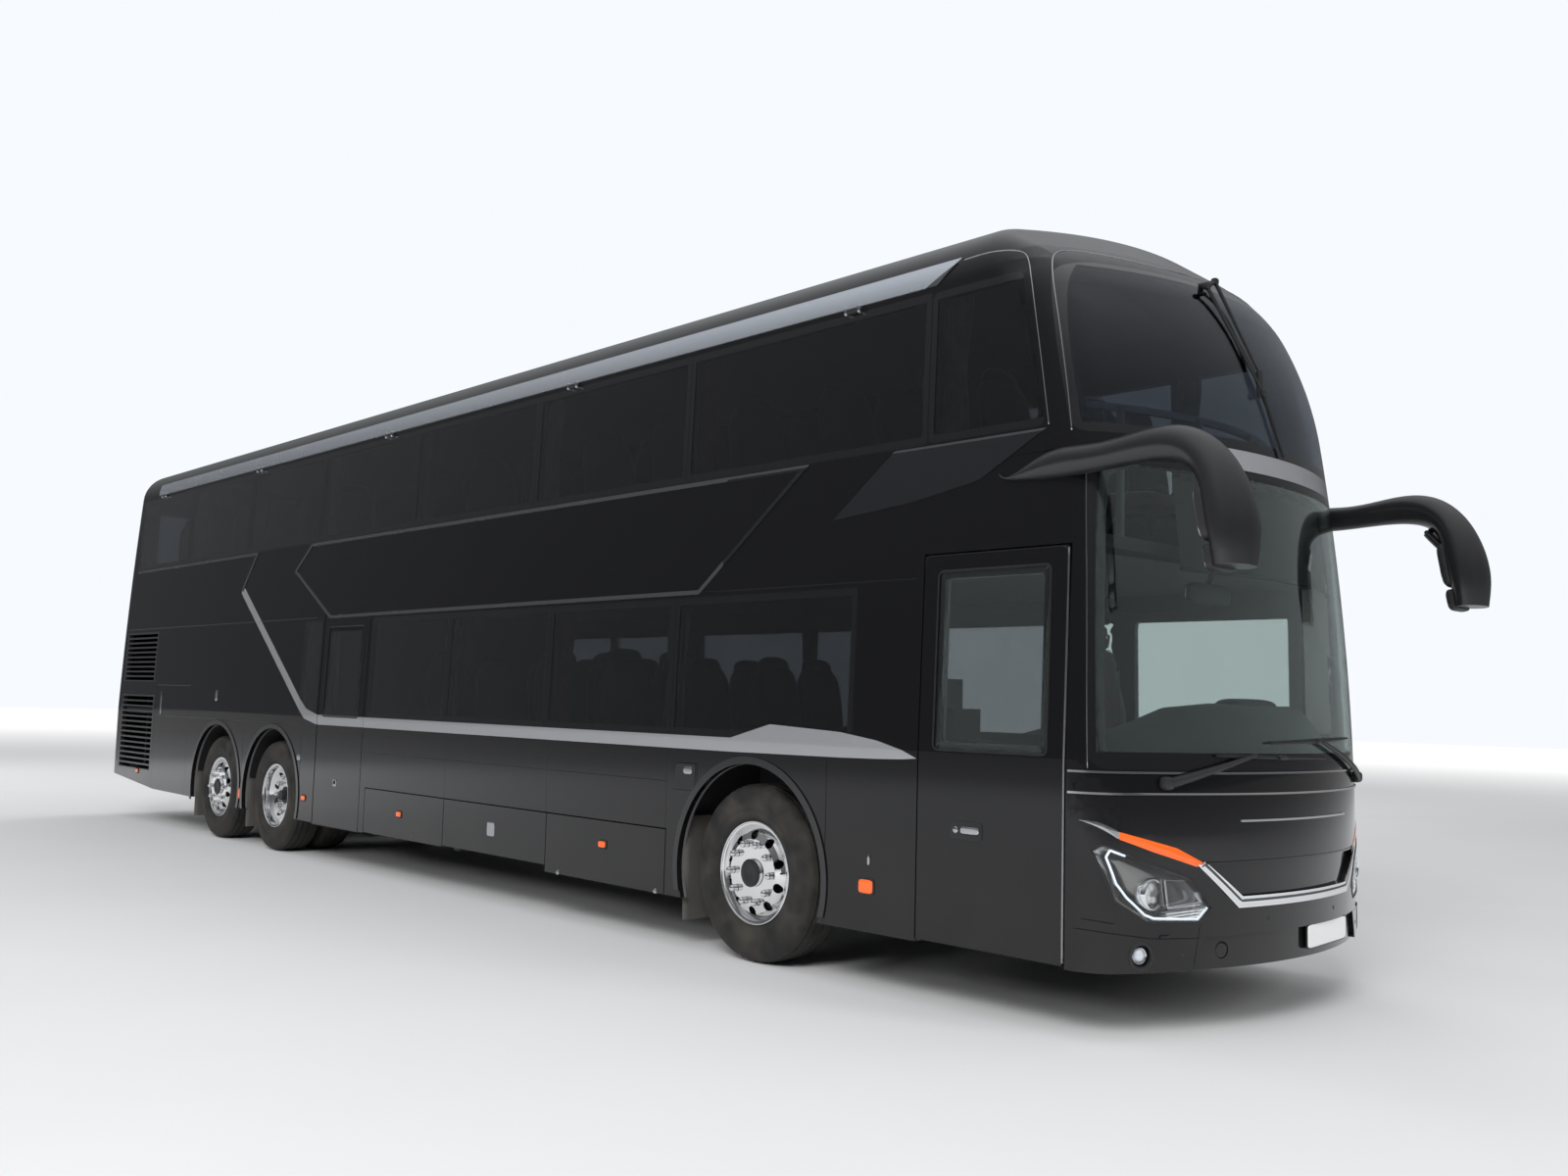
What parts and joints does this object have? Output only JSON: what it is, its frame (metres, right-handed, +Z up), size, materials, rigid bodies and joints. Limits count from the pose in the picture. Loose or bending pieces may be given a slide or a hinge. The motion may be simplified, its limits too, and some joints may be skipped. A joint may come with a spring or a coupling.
{
  "type": "double-deck touring coach",
  "caption": "Three-axle double-deck touring coach, left-hand drive, with opening doors, luggage flaps, engine lid, steering and rolling wheels.",
  "frame": {"origin": "ground level, midway between the rear face and the tips of the mirrors, on the centre line", "axes": "+X forward, +Y to the coach's left, +Z up"},
  "size_m": [14.408, 2.8003, 4],
  "materials": {
    "body_paint": "gloss",
    "front_black": "gloss",
    "bumper_paint": "gloss",
    "chassis_steel": "matte",
    "floor_covering": "matte",
    "tinted_glass": "clear",
    "silver_trim": "satin",
    "bright_trim": "polished",
    "lamp_glass": "clear",
    "red_lens": "gloss",
    "mirror_black": "gloss",
    "wiper_black": "matte",
    "cab_plastic": "matte",
    "seat_fabric": "woven",
    "rail_steel": "brushed",
    "cast_block": "rough",
    "tyre_rubber": "matte",
    "wheel_alloy": "polished",
    "door_arm_steel": "satin"
  },
  "bodies": {
    "body": {"chassis_frame": "chassis_steel", "axle_beams": "chassis_steel", "lower_floor": "floor_covering", "upper_floor": "floor_covering", "side_wall_right": "body_paint", "side_wall_left": "body_paint", "upper_wall_right": "body_paint", "upper_wall_left": "body_paint", "roof": "body_paint", "front_mask": "body_paint", "front_frame": "front_black", "front_bumper": "bumper_paint", "rear_wall": "body_paint", "windscreens": "tinted_glass", "glass_right": "tinted_glass", "glass_left": "tinted_glass", "glass_rear": "tinted_glass", "side_trim": "silver_trim", "front_trim": "bright_trim", "front_lamps": "lamp_glass", "tail_lamps": "red_lens", "side_grilles": "body_paint", "mirrors": "mirror_black", "wipers": "wiper_black", "dashboard": "cab_plastic", "seats_lower": "seat_fabric", "seats_upper": "seat_fabric", "staircases": "floor_covering", "front_rail": "rail_steel", "engine": "cast_block"},
    "steering_wheel": {"steering_wheel": "cab_plastic"},
    "knuckle_front_right": {"knuckle_front_right": "chassis_steel"},
    "knuckle_front_left": {"knuckle_front_left": "chassis_steel"},
    "knuckle_tag_right": {"knuckle_tag_right": "chassis_steel"},
    "knuckle_tag_left": {"knuckle_tag_left": "chassis_steel"},
    "wheel_front_right": {"tyre_front_right": "tyre_rubber", "rim_front_right": "wheel_alloy"},
    "wheel_front_left": {"tyre_front_left": "tyre_rubber", "rim_front_left": "wheel_alloy"},
    "wheel_drive_right": {"tyre_drive_right": "tyre_rubber", "rim_drive_right": "wheel_alloy"},
    "wheel_drive_left": {"tyre_drive_left": "tyre_rubber", "rim_drive_left": "wheel_alloy"},
    "wheel_tag_right": {"tyre_tag_right": "tyre_rubber", "rim_tag_right": "wheel_alloy"},
    "wheel_tag_left": {"tyre_tag_left": "tyre_rubber", "rim_tag_left": "wheel_alloy"},
    "front_door_arms": {"front_door_arms": "door_arm_steel"},
    "front_door": {"front_door": "body_paint", "front_door_glass": "tinted_glass"},
    "middle_door_arms": {"middle_door_arms": "door_arm_steel"},
    "middle_door": {"middle_door": "body_paint", "middle_door_glass": "tinted_glass"},
    "flap_right_1": {"flap_right_1": "body_paint"},
    "flap_right_2": {"flap_right_2": "body_paint"},
    "flap_right_3": {"flap_right_3": "body_paint"},
    "flap_left_1": {"flap_left_1": "body_paint"},
    "flap_left_2": {"flap_left_2": "body_paint"},
    "flap_left_3": {"flap_left_3": "body_paint"},
    "engine_lid": {"engine_lid": "body_paint"}
  },
  "joints": [
    {"name": "steering_wheel_turn", "type": "hinge", "parent": "body", "child": "steering_wheel", "pos_m": [5.8925, 0.62, 1.14], "axis": [-0.5, 0, 0.866], "range_deg": [-560, 560]},
    {"name": "steer_front_right", "type": "hinge", "parent": "body", "child": "knuckle_front_right", "pos_m": [4.1075, -0.88, 0.505], "axis": [0, 0, 1], "range_deg": [-40, 40]},
    {"name": "steer_front_left", "type": "hinge", "parent": "body", "child": "knuckle_front_left", "pos_m": [4.1075, 0.88, 0.505], "axis": [0, 0, 1], "range_deg": [-40, 40]},
    {"name": "steer_tag_right", "type": "hinge", "parent": "body", "child": "knuckle_tag_right", "pos_m": [-3.9425, -0.88, 0.505], "axis": [0, 0, 1], "range_deg": [-12, 12]},
    {"name": "steer_tag_left", "type": "hinge", "parent": "body", "child": "knuckle_tag_left", "pos_m": [-3.9425, 0.88, 0.505], "axis": [0, 0, 1], "range_deg": [-12, 12]},
    {"name": "roll_front_right", "type": "hinge", "parent": "knuckle_front_right", "child": "wheel_front_right", "pos_m": [4.1075, -1.1, 0.505], "axis": [0, 1, 0], "continuous": true},
    {"name": "roll_front_left", "type": "hinge", "parent": "knuckle_front_left", "child": "wheel_front_left", "pos_m": [4.1075, 1.1, 0.505], "axis": [0, 1, 0], "continuous": true},
    {"name": "roll_drive_right", "type": "hinge", "parent": "body", "child": "wheel_drive_right", "pos_m": [-2.5925, -1.1, 0.505], "axis": [0, 1, 0], "continuous": true},
    {"name": "roll_drive_left", "type": "hinge", "parent": "body", "child": "wheel_drive_left", "pos_m": [-2.5925, 1.1, 0.505], "axis": [0, 1, 0], "continuous": true},
    {"name": "roll_tag_right", "type": "hinge", "parent": "knuckle_tag_right", "child": "wheel_tag_right", "pos_m": [-3.9425, -1.1, 0.505], "axis": [0, 1, 0], "continuous": true},
    {"name": "roll_tag_left", "type": "hinge", "parent": "knuckle_tag_left", "child": "wheel_tag_left", "pos_m": [-3.9425, 1.1, 0.505], "axis": [0, 1, 0], "continuous": true},
    {"name": "front_door_swing", "type": "hinge", "parent": "body", "child": "front_door_arms", "pos_m": [6.2125, -1.15, 1.3], "axis": [0, 0, 1], "range_deg": [0, 135]},
    {"name": "front_door_leaf", "type": "hinge", "parent": "front_door_arms", "child": "front_door", "pos_m": [5.8125, -1.18, 0.9], "axis": [0, 0, 1], "range_deg": [-135, 0]},
    {"name": "middle_door_swing", "type": "hinge", "parent": "body", "child": "middle_door_arms", "pos_m": [-1.5675, -1.15, 1.3], "axis": [0, 0, -1], "range_deg": [0, 135]},
    {"name": "middle_door_leaf", "type": "hinge", "parent": "middle_door_arms", "child": "middle_door", "pos_m": [-1.1675, -1.18, 0.9], "axis": [0, 0, -1], "range_deg": [-135, 0]},
    {"name": "flap_right_1_open", "type": "hinge", "parent": "body", "child": "flap_right_1", "pos_m": [2.705, -1.275, 0.69], "axis": [-1, 0, 0], "range_deg": [0, 100]},
    {"name": "flap_right_2_open", "type": "hinge", "parent": "body", "child": "flap_right_2", "pos_m": [1.3485, -1.275, 0.69], "axis": [-1, 0, 0], "range_deg": [0, 100]},
    {"name": "flap_right_3_open", "type": "hinge", "parent": "body", "child": "flap_right_3", "pos_m": [-0.004, -1.275, 0.69], "axis": [-1, 0, 0], "range_deg": [0, 100]},
    {"name": "flap_left_1_open", "type": "hinge", "parent": "body", "child": "flap_left_1", "pos_m": [2.705, 1.275, 0.69], "axis": [1, 0, 0], "range_deg": [0, 100]},
    {"name": "flap_left_2_open", "type": "hinge", "parent": "body", "child": "flap_left_2", "pos_m": [1.3485, 1.275, 0.69], "axis": [1, 0, 0], "range_deg": [0, 100]},
    {"name": "flap_left_3_open", "type": "hinge", "parent": "body", "child": "flap_left_3", "pos_m": [-0.004, 1.275, 0.69], "axis": [1, 0, 0], "range_deg": [0, 100]},
    {"name": "engine_lid_open", "type": "hinge", "parent": "body", "child": "engine_lid", "pos_m": [-7.2005, 0, 1.5], "axis": [0, 1, 0], "range_deg": [0, 80]}
  ],
  "couplings": [
    {"joint": "steer_front_left", "follows": "steer_front_right", "ratio": 1},
    {"joint": "steer_tag_right", "follows": "steer_front_right", "ratio": -0.3},
    {"joint": "steer_tag_left", "follows": "steer_front_right", "ratio": -0.3},
    {"joint": "steering_wheel_turn", "follows": "steer_front_right", "ratio": 14},
    {"joint": "front_door_leaf", "follows": "front_door_swing", "ratio": -1},
    {"joint": "middle_door_leaf", "follows": "middle_door_swing", "ratio": -1}
  ]
}
